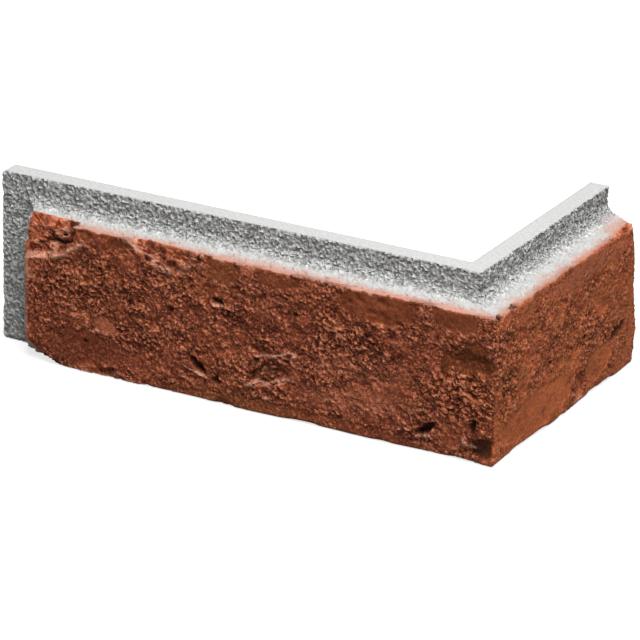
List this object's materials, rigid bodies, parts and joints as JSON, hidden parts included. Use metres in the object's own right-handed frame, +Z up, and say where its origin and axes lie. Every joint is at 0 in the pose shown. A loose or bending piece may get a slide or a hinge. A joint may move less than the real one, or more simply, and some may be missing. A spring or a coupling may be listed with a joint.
{
  "type": "brick corner tile",
  "caption": "L-shaped cladding tile that wraps an outside wall corner: worn red brick faces on a grey cast body, with a flat flange that shows as the mortar joint.",
  "frame": {"origin": "base of the inner arris, where the backs of the two arms meet", "axes": "+Z up the tile, long arm along -X, short arm along +Y, brick faces towards -Y and +X"},
  "size_m": [0.2464, 0.135, 0.077],
  "materials": {
    "cast_stone": "rough cast cement with a red-brown colour coat on the brick faces and bare grey elsewhere"
  },
  "bodies": {
    "root": {"corner_tile": "cast_stone"}
  },
  "joints": []
}
